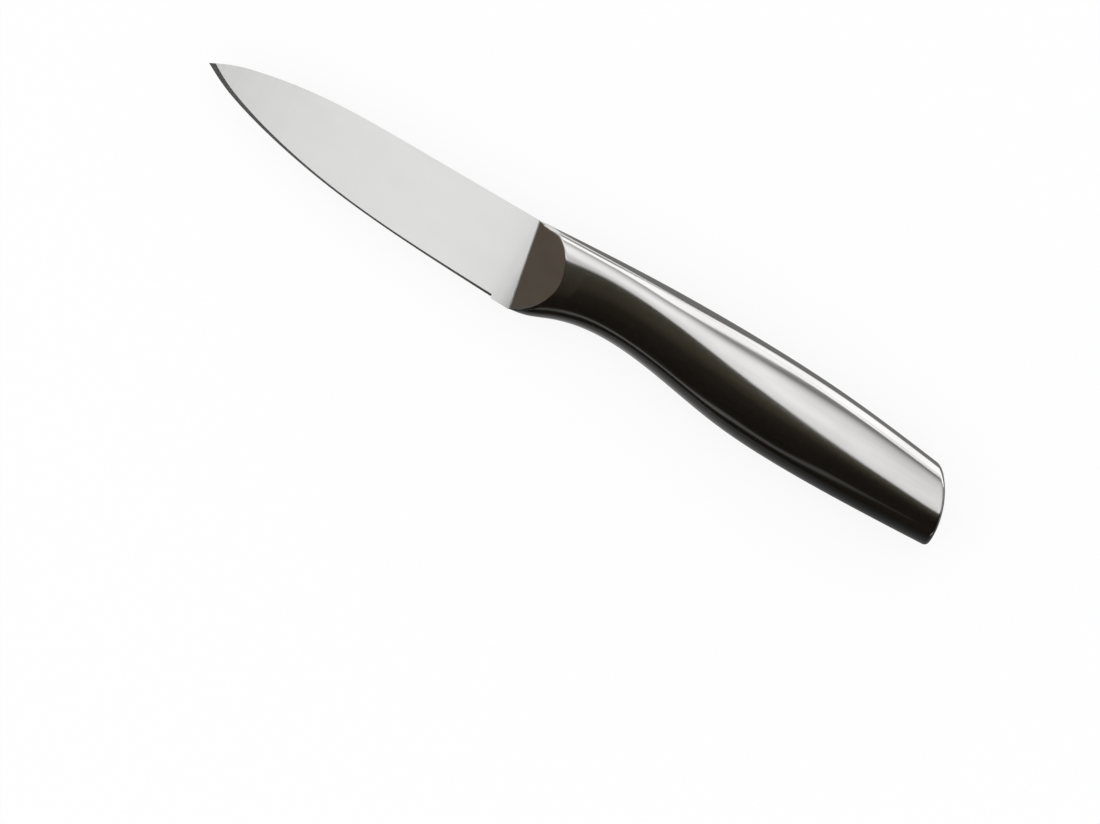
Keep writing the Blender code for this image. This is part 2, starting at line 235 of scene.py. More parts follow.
# Flag over the handle: the edge where its dark side begins, and how deep its fade is
FLAG_EDGE = (
    (-0.0120, 0.0104),
    (-0.0065, 0.0124),
    (0.0000, 0.0137),
    (0.0080, 0.0132),
    (0.0200, 0.0107),
    (0.0400, 0.0060),
    (0.0650, 0.0011),
    (0.0950, -0.0023),
)
FLAG_DEPTH = (
    (-0.012, 0.045),
    (0.020, 0.037),
    (0.035, 0.030),
    (0.050, 0.025),
    (0.065, 0.020),
    (0.080, 0.017),
    (0.200, 0.017),
)
FLAG_END = 0.200
# Past the butt the flag's edge turns outward by this slope, as the cap's rounded rim does
BUTT_EDGE_X = 0.102
FLAG_TURN = 0.42
FLAG_LOW_Y = -0.045
FLAG_FADE = (
    (0.0, (0.060, 0.056, 0.042)),
    (0.25, (0.037, 0.032, 0.021)),
    (0.5, (0.0135, 0.0112, 0.0074)),
    (1.0, DARK_GLOW),
)

# Small flag close over the bolster, clear of the blade: its upper edge, then its left edge and colour by Y
COLLAR_FLAG_RIGHT = -0.0005
COLLAR_FLAG_TOP = ((-0.0090, 0.0053), (-0.0060, 0.0055), (-0.0025, 0.0062), (COLLAR_FLAG_RIGHT, 0.0065))
COLLAR_FADE = (
    (0.0031, -0.0086, (0.046, 0.042, 0.031)),
    (0.0001, -0.0078, (0.032, 0.028, 0.019)),
    (-0.0038, -0.0078, (0.021, 0.018, 0.012)),
    (-0.0080, -0.0088, (0.0105, 0.0086, 0.0060)),
    (-0.0125, -0.0098, DARK_GLOW),
    (-0.0190, -0.0130, DARK_GLOW),
    (-0.0300, -0.0140, DARK_GLOW),
)

# Dark side panel: the Y of each row, X of its two ends, and its height. The far end comes down to the floor
SIDE_PANEL = (
    (-0.060, -0.060, 0.250, HIGH_CARD_Z),
    (-0.300, -0.120, 0.500, HIGH_CARD_Z),
    (-1.200, -0.600, 0.900, HIGH_CARD_Z),
    (-1.200, -0.600, 0.900, UNDER_FLOOR_Z),
)

# Dim strip across the dark side, which draws the thin line along the belly: its middle line, then how far off
# it each row lies with its share of the brightness, and that brightness by X
BELLY_STRIP = (
    (-0.060, -0.400),
    (-0.005, -0.300),
    (0.037, -0.210),
    (0.060, -0.218),
    (0.078, -0.158),
    (0.097, -0.098),
    (0.120, -0.070),
)
BELLY_STRIP_ROWS = ((-0.080, 0.0), (-0.030, 1.0), (0.030, 1.0), (0.060, 0.0))
BELLY_STRIP_LEVELS = ((0.0, 0.12), (0.03, 0.085), (0.06, 0.065), (0.08, 0.050), (0.10, 0.022))

# Light panel overhead. Each row is a line of X and Y with its brightness by X, and on the spine's side the
# panel dims into the gap
PANEL_X = (-0.150, 0.200)
PANEL_ROWS = (
    (
        ((-0.150, -0.055), (0.200, -0.055)),
        ((-0.02, 1.0), (0.0, 0.95)),
    ),
    (
        (
            (-0.150, 0.0190),
            (-0.012, 0.0190),
            (0.012, 0.0100),
            (0.034, 0.0000),
            (0.062, -0.0100),
            (0.096, -0.0180),
        ),
        ((-0.03, 1.0), (0.0, 0.95), (0.04, 0.89), (0.066, 0.86), (0.09, 0.80), (0.12, 0.75)),
    ),
    (
        (
            (-0.150, 0.0300),
            (-0.012, 0.0290),
            (0.012, 0.0200),
            (0.034, 0.0100),
            (0.062, 0.0004),
            (0.096, -0.0074),
        ),
        ((-0.03, 0.60), (0.0, 0.62), (0.012, 0.80), (0.04, 0.89), (0.066, 0.86), (0.09, 0.80), (0.12, 0.75)),
    ),
    (
        ((-0.150, 0.055), (0.000, 0.045), (0.040, 0.042), (0.066, 0.028), (0.090, 0.010), (0.120, 0.004)),
        ((-0.04, 1.0), (-0.01, 1.15), (0.02, 1.15), (0.04, 1.10), (0.066, 1.08), (0.08, 1.0), (0.09, 0.93)),
    ),
    (
        ((-0.150, 0.130), (-0.040, 0.075), (0.012, 0.055), (0.040, 0.068), (0.060, 0.090), (0.100, 0.120)),
        ((-0.04, 1.1), (0.026, 1.1), (0.04, 1.03), (0.06, 0.92), (0.085, 0.78), (0.10, 0.70)),
    ),
    (
        (
            (-0.150, 0.200),
            (-0.040, 0.110),
            (-0.024, 0.106),
            (-0.016, 0.118),
            (0.010, 0.088),
            (0.040, 0.119),
            (0.105, 0.265),
        ),
        ((-0.04, 0.45), (0.015, 0.45), (0.03, 0.33), (0.042, 0.29), (0.055, 0.22), (0.12, 0.22)),
    ),
    (
        (
            (-0.150, 0.240),
            (-0.040, 0.130),
            (-0.024, 0.125),
            (-0.016, 0.137),
            (0.012, 0.107),
            (0.027, 0.131),
            (0.043, 0.196),
            (0.083, 0.500),
        ),
        ((-0.04, 0.45), (0.015, 0.45), (0.03, 0.35), (0.042, 0.31), (0.055, 0.26), (0.12, 0.26)),
    ),
)
# The rows from this one on draw the gap, and only they reach out over the blade, where the ramp's card stands
GAP_ROW = 4
HANDLE_PANEL_LEFT = -0.045

# Brighter panel past the gap. On the neck's side it ends sooner, and a dim one follows
PANEL_GLOW = 1.33
PANEL_FAR_Y = 3.0
NECK_PANEL_FAR_Y = 0.260
NECK_PANEL_RIGHT = -0.028
NECK_DIM_GLOW = 0.26
PANEL_FACES = 70

# Brownish card beyond the tip, which the bolster's slanted face looks into
RAMP_CARD_X = (-0.60, -0.14)
RAMP_GLOW = (0.098, 0.080, 0.063)
RAMP_CARD_ROWS = (
    (-0.25, RAMP_GLOW),
    (0.04, RAMP_GLOW),
    (0.12, (0.150, 0.132, 0.118)),
    (0.20, (0.250, 0.240, 0.230)),
    (0.30, (0.400, 0.400, 0.400)),
)

# Card beyond the butt, as X, height and brightness of each row. It darkens the outer half of the cap's round
# rim, and all of the rim on the belly's side of a line, whose fade grows with its distance from the butt
BUTT_CARD = (
    (0.20, BUTT_CARD_Z, 0.62),
    (0.30, BUTT_CARD_Z, 0.36),
    (0.60, BUTT_CARD_Z, 0.16),
    (2.0, BUTT_CARD_Z, 0.12),
    (2.0, UNDER_FLOOR_Z, 0.45),
)
BUTT_CARD_Y = (-1.20, 1.20)
BUTT_LINE_Y = -0.0056
BUTT_LINE_SLOPE = 0.314
BUTT_LINE_FADE = 0.03

# Soft light in the side panel, which keeps the blade bright when the knife is seen from behind
BLADE_LIGHT_X = (0.135, 0.155, 0.260, 0.300)
BLADE_LIGHT_Y = (-0.160, -0.190, -0.340, -0.400)
BLADE_LIGHT_SHARE = (0.0, 1.0, 1.0, 0.0)
BLADE_LIGHT_GLOW = 1.10
# Flag that hides that light from the butt and the belly
BELLY_FLAG_X = (0.100, 0.220)
BELLY_FLAG_Y = (-0.046, -0.200)

# Grey card that the cutting bevel looks into
EDGE_CARD_X = (-0.30, -0.022)
EDGE_CARD_Y = (-0.30, -0.046)
EDGE_GLOW = 0.095

# What the steel sees of the floor. On the belly's side it is dark away from the knife, with a brightness by Y
# and a share of it by X
BELLY_FLOOR = ((-3.0, 0.02), (-0.06, 0.04), (-0.024, 0.10), (-0.014, 0.24), (0.0, 0.24))
BELLY_FLOOR_SHARE = (
    (-0.02, 1.25),
    (0.02, 1.25),
    (0.045, 1.0),
    (0.07, 0.6),
    (0.09, 0.4),
    (0.20, 0.4),
    (0.27, 1.5),
)
# On the spine's side it carries a painted shadow of the knife: it is dim near the knife, up to a share of the
# way to this edge, and white past the edge
FLOOR_EDGE = (
    (0.0160, 0.330),
    (0.0240, 0.180),
    (0.0300, 0.108),
    (0.0405, 0.057),
    (0.0525, 0.0445),
    (0.0650, 0.0390),
    (0.0900, 0.0315),
    (0.1200, 0.0290),
)
FLOOR_EDGE_SHARE = 0.85
# Past the butt that edge runs outward. The brightness of the painted shade on the dim side, by X, rises far
# out and toward the blade
BUTT_FLOOR_EDGE = ((0.14, 0.06), (0.20, 0.20), (0.27, 0.45), (0.50, 1.00), (3.00, 2.90))
SPINE_FLOOR_SHADE = (
    (-0.0165, 0.85),
    (-0.0140, 0.50),
    (-0.0120, 0.36),
    (-0.0100, 0.25),
    (-0.0080, 0.20),
    (0.1200, 0.20),
    (0.1400, 0.12),
    (0.2000, 0.12),
    (0.2700, 0.50),
)
SPINE_FLOOR_FAR = 1.33
FLOOR_CARD_HALF = 3.0


def smooth_curve(points):
    """A natural cubic curve through the points, carried on straight past its ends, for arrays."""
    x, y = (np.array(column) for column in zip(*points))
    step = np.diff(x)
    rise = np.diff(y) / step
    last = len(x) - 1
    rows = np.eye(last + 1)
    right = np.zeros(last + 1)
    for i in range(1, last):
        rows[i, i - 1 : i + 2] = step[i - 1], 2 * (step[i - 1] + step[i]), step[i]
        right[i] = 6 * (rise[i] - rise[i - 1])
    bend = np.linalg.solve(rows, right)

    def height(at):
        at = np.asarray(at, float)
        inside = np.clip(at, x[0], x[-1])
        i = np.clip(np.searchsorted(x, inside, side="right") - 1, 0, last - 1)
        run = inside - x[i]
        slope = rise[i] - step[i] * (2 * bend[i] + bend[i + 1]) / 6
        turn = (bend[i + 1] - bend[i]) / step[i]
        value = y[i] + slope * run + bend[i] * run**2 / 2 + turn * run**3 / 6
        end_slope = slope + bend[i] * run + turn * run**2 / 2
        return value + end_slope * (at - inside)

    return height


blade_spine = smooth_curve(BLADE_SPINE)
blade_edge = smooth_curve(BLADE_EDGE)
handle_top = smooth_curve(HANDLE_TOP)
handle_bottom = smooth_curve(HANDLE_BOTTOM)
handle_side = smooth_curve(HANDLE_SIDE)
crest_rise = smooth_curve(CREST_RISE)
spine_squareness = smooth_curve(SPINE_SQUARENESS)
belly_squareness = smooth_curve(BELLY_SQUARENESS)

tip = min((vertex.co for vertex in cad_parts["blade"].data.vertices), key=lambda co: co.x)
REST = Vector(tip) - Vector((-BLADE_LENGTH, TIP_Y, 0.0))


# Form of the blade


def front_x(y):
    """X of the line between blade and bolster at this height."""
    return (JOINT_Y - y) * math.tan(FRONT_LEAN)


def grind_slopes():
    """Slopes of the blade's flat side along X and Y, and its height at the bolster on the middle line."""
    top_y = blade_spine(BLADE_LENGTH)
    bottom_y = blade_edge(BLADE_LENGTH)
    across = (SPINE_THICKNESS - HEEL_THICKNESS) / 2 / (top_y - bottom_y)
    return TIP_TAPER / BLADE_LENGTH, across, SPINE_THICKNESS / 2 - across * top_y


def blade_side_z(x, y):
    """Height of the blade's flat side over its middle plane."""
    along, across, level = grind_slopes()
    return level + across * y + along * x


def bevel_top(x, low):
    """Height at which the cutting bevel, climbing from the edge, meets the flat side, and its climb."""
    from_tip = x + BLADE_LENGTH
    slope = (blade_edge(from_tip + SLOPE_RUN) - blade_edge(from_tip)) / SLOPE_RUN
    climb = math.tan(BEVEL_ANGLE) / math.hypot(1, slope)
    across = grind_slopes()[1]
    return low + blade_side_z(x, low) / (climb - across), climb


def blade_ring(x_at, top, shoulder, low, top_z, shoulder_z, low_z):
    """One section of the blade, going round from the spine's left corner to its right one."""
    left = [(x_at(top), top, top_z), (x_at(shoulder), shoulder, shoulder_z), (x_at(low), low, low_z)]
    return left + [(x, y, -z) for x, y, z in reversed(left)]


def ground_ring(from_tip):
    """A section of the sharpened blade at this distance from the tip."""
    x = from_tip - BLADE_LENGTH
    top, low = blade_spine(from_tip), blade_edge(from_tip)
    shoulder, climb = bevel_top(x, low)
    if shoulder >= top:
        top_z = (top - low) * climb
        return blade_ring(lambda y: x, top, top, low, top_z, top_z, 0.0)
    top_z, shoulder_z = blade_side_z(x, top), blade_side_z(x, shoulder)
    return blade_ring(lambda y: x, top, shoulder, low, top_z, shoulder_z, 0.0)


def full_tip():
    """Distance from the tip at which the cutting bevel reaches the spine."""
    near, far = 0.0, BLADE_LENGTH / 2
    for _ in range(HALVINGS):
        middle = (near + far) / 2
        shoulder, _ = bevel_top(middle - BLADE_LENGTH, blade_edge(middle))
        if shoulder > blade_spine(middle):
            near = middle
        else:
            far = middle
    return far


def slab_ring(x_at, top, low):
    """A section of the unsharpened blade, with square corners."""
    top_z, low_z = blade_side_z(x_at(top), top), blade_side_z(x_at(low), low)
    return blade_ring(x_at, top, low, low, top_z, low_z, low_z)


def blade_rings():
    """Sections of the blade from the tip to the bolster's front."""
    heel_low = blade_edge(BLADE_LENGTH) - HEEL_DROP
    heel_start = BLADE_LENGTH + front_x(heel_low) - HEEL_FLAT
    first = full_tip()
    front_ring = ground_ring(first / 2)
    rings = [[(-BLADE_LENGTH, TIP_Y, 0.0)] * len(front_ring), front_ring]
    for i in range(BLADE_FACES + 1):
        rings.append(ground_ring(first + (heel_start - HEEL_STEP - first) * i / BLADE_FACES))
    start_x = heel_start - BLADE_LENGTH
    rings.append(slab_ring(lambda y: start_x, blade_spine(heel_start), heel_low))
    spine_y = blade_spine(BLADE_LENGTH + front_x(blade_spine(BLADE_LENGTH)))
    rings.append(slab_ring(front_x, spine_y, heel_low))
    return rings


# Form of the handle


def handle_points(x, angle, inset=0.0):
    """Points of the handle: angle 0 is the spine, a quarter turn the left side, half a turn the belly."""
    x, angle = np.broadcast_arrays(np.asarray(x, float), np.asarray(angle, float))
    inset = inset + FACET_ROOM
    top, bottom = handle_top(x) - inset, handle_bottom(x) + inset
    middle, half = (top + bottom) / 2, (top - bottom) / 2
    toward_spine = (1 + np.cos(angle)) / 2
    squareness = belly_squareness(x) * (1 - toward_spine) + spine_squareness(x) * toward_spine
    rise = np.sign(np.cos(angle)) * np.abs(np.cos(angle)) ** (2 / squareness)
    out = np.sign(np.sin(angle)) * np.abs(np.sin(angle)) ** (2 / squareness)
    y = middle + half * (rise + crest_rise(x) * out**2)
    return np.stack([x, y, (handle_side(x) - inset) * out], axis=-1)


def outward(form, x, angle):
    """Outward directions of a form that gives points from X and angle."""
    x, angle = np.broadcast_arrays(np.asarray(x, float), np.asarray(angle, float))
    along = form(x + NORMAL_RUN, angle) - form(x - NORMAL_RUN, angle)
    around = form(x, angle + NORMAL_TURN) - form(x, angle - NORMAL_TURN)
    normals = np.cross(around, along)
    return normals / np.maximum(np.linalg.norm(normals, axis=-1, keepdims=True), NO_LENGTH)


def lower_of(first, second, blend):
    """The lower of two heights, rounded where they cross."""
    share = np.maximum(blend - np.abs(first - second), 0) / blend
    return np.minimum(first, second) - share**2 * blend / 4


def bolster_points(x, angle):
    """Points of the bolster: the handle's form, lowered to ramp and lip on both sides of the blade."""
    points = handle_points(x, angle)
    y, height = points[..., 1], np.abs(points[..., 2])
    behind = (points[..., 0] - front_x(y)) * math.cos(FRONT_LEAN)
    face = blade_side_z(front_x(y), y)
    lip = face + behind * math.tan(LIP_ANGLE)
    ramp = face + RAMP_RISE + (behind - RAMP_START) * math.tan(RAMP_ANGLE)
    skin_out = outward(handle_points, x, angle)
    level_part = np.hypot(skin_out[..., 0], skin_out[..., 1])
    steepness = level_part / np.maximum(np.abs(skin_out[..., 2]), 1 / STEEPEST)
    corner = np.interp(behind, CORNER_REACH, (CORNER_ROUND, EDGE_ROUND))
    width = EDGE_ROUND + (corner - EDGE_ROUND) * np.maximum(np.cos(angle), 0)
    blend = np.minimum(width * (math.tan(RAMP_ANGLE) + steepness), np.abs(ramp) + LIP_ROUND)
    height = lower_of(lower_of(height, ramp, blend), lip, LIP_ROUND)
    points[..., 2] = np.sign(points[..., 2]) * np.maximum(height, 0)
    return points


def at_front(share, angle):
    """X of the bolster's points, from its leaning front, share 0, to the weld behind it, share 1."""
    x = np.zeros_like(angle)
    for _ in range(SETTLE_ROUNDS):
        front = front_x(handle_points(x, angle)[..., 1]) + JOINT_GAP
        x = front + share * (FRONT_WELD - front)
    return x


def butt_x(y):
    """X of the butt's end at this height: an arc whose furthest point is the handle's end."""
    across = np.minimum(np.abs(y - BUTT_CENTRE_Y), BUTT_ARC_SHARE * BUTT_RADIUS)
    return HANDLE_LENGTH - FACET_ROOM - BUTT_RADIUS + np.sqrt(BUTT_RADIUS**2 - across**2)


def at_butt(depth, angle, inset=0.0):
    """X of the handle's points at this depth in from the curved butt."""
    x = np.full_like(angle, HANDLE_LENGTH - depth)
    for _ in range(SETTLE_ROUNDS):
        x = butt_x(handle_points(x, angle, inset)[..., 1]) - depth
    return x


def angle_at(x, z, at_belly):
    """The section's angle where its left side stands at height z, near the spine or near the belly."""
    squareness = belly_squareness(x) if at_belly else spine_squareness(x)
    angle = np.arcsin((z / handle_side(x)) ** (squareness / 2))
    return math.pi - angle if at_belly else angle


def full_turn():
    """Angles of the points once around a section."""
    return 2 * math.pi * np.arange(AROUND) / AROUND


def shell_grid(spread):
    """X and angle of the shells' points, from the bolster's weld to the cap's.

    The function spread gives each section's angles from its X.
    """
    share = np.arange(SHELL_FACES + 1) / SHELL_FACES
    angles = spread(SHELL_FRONT + share * (HANDLE_LENGTH - SHELL_DEPTH - SHELL_FRONT))
    return SHELL_FRONT + share[:, None] * (at_butt(SHELL_DEPTH, angles) - SHELL_FRONT), angles


# Meshes


def add_grid(bm, points, closed, normals=None):
    """Adds a sheet of faces through the rows of points and returns its vertices."""
    layer = bm.verts.layers.float_vector[FORM]
    grid = []
    for i, row in enumerate(points):
        line = [bm.verts.new(point) for point in row]
        if normals is not None:
            for vertex, normal in zip(line, normals[i]):
                vertex[layer] = normal
        grid.append(line)
    for row, following in zip(grid, grid[1:]):
        bridge(bm, row, following, closed)
    return grid


def bridge(bm, first, second, closed):
    """Faces between two rows of vertices, and from their ends back to their starts if they are closed."""
    count = len(first)
    for i in range(count if closed else count - 1):
        j = (i + 1) % count
        bm.faces.new((first[i], first[j], second[j], second[i]))


def new_object(name, bm, look):
    """Makes an object of the scene from a finished bmesh."""
    mesh = bpy.data.meshes.new(name)
    bm.to_mesh(mesh)
    bm.free()
    mesh.materials.append(look)
    made = bpy.data.objects.new(name, mesh)
    bpy.context.scene.collection.objects.link(made)
    return made


def new_bmesh():
    """An empty mesh whose points can carry the direction in which the form faces there."""
    bm = bmesh.new()
    bm.verts.layers.float_vector.new(FORM)
    return bm


def shade(mesh):
    """Shades a piece smooth up to its edges, and its skin by the form itself, so that no facet shows."""
    mesh.shade_smooth()
    mesh.set_sharp_from_angle(angle=SHARP_ANGLE)
    corners = np.empty(3 * len(mesh.loops))
    mesh.corner_normals.foreach_get("vector", corners)
    corners = corners.reshape(-1, 3)
    form = np.empty(3 * len(mesh.vertices))
    mesh.attributes[FORM].data.foreach_get("vector", form)
    of_vertex = np.empty(len(mesh.loops), int)
    mesh.loops.foreach_get("vertex_index", of_vertex)
    form = form.reshape(-1, 3)[of_vertex]
    faces = np.empty(3 * len(mesh.polygons))
    mesh.polygons.foreach_get("normal", faces)
    sizes = np.empty(len(mesh.polygons), int)
    mesh.polygons.foreach_get("loop_total", sizes)
    faces = np.repeat(faces.reshape(-1, 3), sizes, axis=0)
    on_skin = (form * faces).sum(axis=1) > SAME_SIDE
    corners[on_skin] = form[on_skin]
    mesh.normals_split_custom_set(corners.tolist())
    mesh.attributes.remove(mesh.attributes[FORM])


def piece(name, bm, node, look):
    """Finishes a piece that stands for a CAD node, at its place in the frame."""
    bmesh.ops.remove_doubles(bm, verts=bm.verts, dist=MERGE)
    bmesh.ops.dissolve_degenerate(bm, edges=bm.edges, dist=MERGE)
    bmesh.ops.recalc_face_normals(bm, faces=bm.faces)
    made = new_object(name, bm, look)
    made.data.transform(Matrix.Translation(REST))
    shade(made.data)
    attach(made, "root")
    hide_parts(node)


def make_blade(look):
    """The ground blade, which ends at the bolster: its tang can't be seen."""
    bm = new_bmesh()
    grid = add_grid(bm, blade_rings(), closed=True)
    bm.faces.new(grid[-1])
    piece("ground_blade", bm, "blade", look)


def make_bolster(look):
    """The collar behind the blade and its spigot inside the shells."""
    angles = full_turn()
    share = (np.arange(BOLSTER_FACES + 1) / BOLSTER_FACES) ** FRONT_CROWDING
    x = np.stack([at_front(one, angles) for one in share])
    spigot_x = np.array([[FRONT_WELD], [BOLSTER_LENGTH + SPIGOT_LENGTH]])
    bm = new_bmesh()
    skin = add_grid(bm, bolster_points(x, angles), closed=True, normals=outward(bolster_points, x, angles))
    spigot = add_grid(bm, handle_points(spigot_x, angles, SPIGOT_INSET), closed=True)
    bridge(bm, skin[-1], spigot[0], closed=True)
    bm.faces.new(skin[0])
    bm.faces.new(spigot[-1])
    piece("polished_bolster", bm, "bolster", look)


def walled(name, x, angles, closed, node, look):
    """A piece of the hollow wall: its skin, its inner side and the edges between them."""
    bm = new_bmesh()
    outer = add_grid(bm, handle_points(x, angles), closed, outward(handle_points, x, angles))
    inner = add_grid(bm, handle_points(x, angles, WALL), closed)
    bridge(bm, outer[0], inner[0], closed)
    bridge(bm, outer[-1], inner[-1], closed)
    if not closed:
        for column in (0, -1):
            bridge(bm, [row[column] for row in outer], [row[column] for row in inner], closed=False)
    piece(name, bm, node, look)


def make_shell(name, side, node, look):
    """Half of the hollow handle, from the spine's seam round one side to the belly's. Side 1 is the left."""

    def spread(x):
        first = angle_at(x, WELD_WIDTH / 2, at_belly=False)[:, None]
        last = angle_at(x, WELD_WIDTH / 2, at_belly=True)[:, None]
        count = AROUND // 2
        return side * (first + (last - first) * np.arange(count + 1) / count)

    x, angles = shell_grid(spread)
    walled(name, x, angles, closed=False, node=node, look=look)


def make_seam(name, at_belly, node, look):
    """The bead that joins the shells along the spine or the belly, ground flush outside."""

    def spread(x):
        z = WELD_WIDTH * (np.arange(SEAM_FACES + 1) / SEAM_FACES - 0.5)
        return np.where(z < 0, -1, 1) * angle_at(x[:, None], np.abs(z), at_belly)

    x, angles = shell_grid(spread)
    if at_belly:
        angles = np.mod(angles, 2 * math.pi)
    walled(name, x, angles, closed=False, node=node, look=look)


def make_front_weld(look):
    """The bead between bolster and shells."""
    x = np.linspace(FRONT_WELD, SHELL_FRONT, WELD_FACES + 1)[:, None]
    walled("front_weld_ring", x, full_turn()[None, :], closed=True, node="bolster_ring_weld", look=look)


def make_butt_weld(look):
    """The bead between shells and cap, which follows the curve of the butt."""
    angles = full_turn()
    x = np.stack([at_butt(depth, angles) for depth in (SHELL_DEPTH, BUTT_WELD)])
    walled("butt_weld_ring", x, angles[None, :], closed=True, node="butt_ring_weld", look=look)


def make_cap(look):
    """The curved end plate, with a rounded rim and the plug that centres it in the shells."""
    angles = full_turn()
    plug_x = at_butt(CAP_THICKNESS + CAP_LIP, np.zeros(1), SPIGOT_INSET)[0]
    plug = [
        handle_points(np.full_like(angles, plug_x), angles, SPIGOT_INSET),
        handle_points(at_butt(BUTT_WELD, angles, SPIGOT_INSET), angles, SPIGOT_INSET),
    ]
    depths = np.linspace(BUTT_WELD, BUTT_EDGE_RADIUS, CAP_FACES + 1)
    side = [at_butt(depth, angles) for depth in depths]
    rows = plug + [handle_points(x, angles) for x in side]
    for i in range(1, RIM_FACES + 1):
        turn = math.pi / 2 * i / RIM_FACES
        inset = BUTT_EDGE_RADIUS * (1 - math.cos(turn))
        depth = BUTT_EDGE_RADIUS * (1 - math.sin(turn))
        rows.append(handle_points(at_butt(depth, angles, inset), angles, inset))
    rim = rows[-1]
    centre = np.array([0.0, rim[:, 1].mean(), 0.0])
    for i in range(1, BUTT_FACES + 1):
        flat = centre + (1 - i / BUTT_FACES) * (rim - centre)
        flat[:, 0] = butt_x(flat[:, 1])
        rows.append(flat)
    bm = new_bmesh()
    grid = add_grid(bm, rows, closed=True)
    bm.faces.new(grid[0])
    piece("polished_butt_cap", bm, "butt_cap", look)


# Materials


def new_material(name):
    """A material with its nodes and links."""
    made = bpy.data.materials.new(name)
    made.use_nodes = True
    return made, made.node_tree.nodes, made.node_tree.links


def noise(nodes, links, density):
    """Noise with about this many waves in a metre along X, Y and Z."""
    place = nodes.new("ShaderNodeTexCoord")
    stretch = nodes.new("ShaderNodeMapping")
    stretch.inputs["Scale"].default_value = density
    links.new(place.outputs["Object"], stretch.inputs["Vector"])
    texture = nodes.new("ShaderNodeTexNoise")
    texture.inputs["Scale"].default_value = 1.0
    texture.inputs["Detail"].default_value = NOISE_DETAIL
    links.new(stretch.outputs["Vector"], texture.inputs["Vector"])
    return texture.outputs["Fac"]


def steel(name, colours, grain, grain_share, roughness, bump):
    """Steel, whose colour, gloss and surface are moved a little by fine lines and soft patches."""
    made, nodes, links = new_material(name)
    shader = nodes["Principled BSDF"]
    shader.inputs["Metallic"].default_value = 1.0
    lines = noise(nodes, links, grain)
    patches = noise(nodes, links, PATCHES)

    both = nodes.new("ShaderNodeMix")
    both.inputs["Factor"].default_value = grain_share
    links.new(patches, both.inputs["A"])
    links.new(lines, both.inputs["B"])
    tone = nodes.new("ShaderNodeValToRGB")
    for element, at, colour in zip(tone.color_ramp.elements, NOISE_RANGE, colours):
        element.position = at
        element.color = (*colour, 1.0)
    links.new(both.outputs["Result"], tone.inputs["Fac"])
    links.new(tone.outputs["Color"], shader.inputs["Base Color"])

    gloss = nodes.new("ShaderNodeMapRange")
    gloss.inputs["From Min"].default_value = NOISE_RANGE[0]
    gloss.inputs["From Max"].default_value = NOISE_RANGE[1]
    gloss.inputs["To Min"].default_value = roughness[0]
    gloss.inputs["To Max"].default_value = roughness[1]
    links.new(lines, gloss.inputs["Value"])
    links.new(gloss.outputs["Result"], shader.inputs["Roughness"])

    relief = nodes.new("ShaderNodeBump")
    relief.inputs["Strength"].default_value = bump
    relief.inputs["Distance"].default_value = SCRATCH_DEPTH
    links.new(lines, relief.inputs["Height"])
    links.new(relief.outputs["Normal"], shader.inputs["Normal"])
    return made


def ground_steel():
    """The blade's steel, with fine lines across it."""
    return steel(
        "ground_blade_steel",
        colours=((0.735, 0.735, 0.735), (0.775, 0.775, 0.765)),
        grain=CROSSWISE,
        grain_share=0.4,
        roughness=(0.22, 0.26),
        bump=0.05,
    )


def satin_steel():
    """The handle's steel, polished, with fine lines along it."""
    return steel(
        "satin_handle_steel",
        colours=((0.67, 0.655, 0.64), (0.79, 0.78, 0.77)),
        grain=LENGTHWISE,
        grain_share=0.15,
        roughness=(0.11, 0.14),
        bump=0.03,
    )


def bare_steel():
    """The balance weight's steel, as it was cut."""
    return steel(
        "bare_weight_steel",
        colours=((0.38, 0.38, 0.38), (0.52, 0.52, 0.52)),
        grain=EVEN,
        grain_share=0.6,
        roughness=(0.45, 0.60),
        bump=0.6,
    )


def dress_weight(look):
    """The balance weight, hidden in the handle, keeps its CAD mesh and gets its look."""
    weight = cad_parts["balance_weight"]
    weight.data.materials.clear()
    weight.data.materials.append(look)


# Studio


def stage_sheet(name, rows, look):
    """A sheet of the studio through the rows of points."""
    bm = bmesh.new()
    grid = [[bm.verts.new(point) for point in row] for row in rows]
    for row, following in zip(grid, grid[1:]):
        bridge(bm, row, following, closed=False)
    made = new_object(name, bm, look)
    return made


def card_look():
    """Light of a card, which each point carries in an attribute."""
    made, nodes, links = new_material("studio_card")
    nodes.remove(nodes["Principled BSDF"])
    glow = nodes.new("ShaderNodeAttribute")
    glow.attribute_name = GLOW
    light = nodes.new("ShaderNodeEmission")
    links.new(glow.outputs["Color"], light.inputs["Color"])
    links.new(light.outputs["Emission"], nodes["Material Output"].inputs["Surface"])
    return made


def card(name, rows, glows, look):
    """A flag or reflector that stands outside the picture and is seen only in the steel.

    Each row of its points has one glow, or a glow for each of its points.
    """
    made = stage_sheet(name, rows, look)
    levels = [np.broadcast_to(glow, (len(row), 3)) for row, glow in zip(rows, glows)]
    colours = np.ones((sum(len(row) for row in rows), 4))
    colours[:, :3] = np.concatenate(levels)
    made.data.attributes.new(GLOW, "FLOAT_COLOR", "POINT").data.foreach_set("color", colours.ravel())
    made.visible_camera = False
    made.visible_diffuse = False
    made.visible_transmission = False
    made.visible_volume_scatter = False
    made.visible_shadow = False


def grey(value):
    return (value, value, value)


def greys(levels, xs):
    """Greys along a row of X, from a few X and brightness pairs."""
    return np.repeat(np.interp(xs, *zip(*levels))[:, None], 3, axis=1)


def row_at(xs, y, z):
    """Points at these X and this height. Y is one value or a value for each point."""
    return [(a, b, z) for a, b in zip(xs, np.broadcast_to(y, np.shape(xs)))]


def level_card(name, xs, lines, z, glows, look):
    """A card at one height, whose rows share their X and follow these lines of Y."""
    card(name, [row_at(xs, y, z) for y in lines], glows, look)


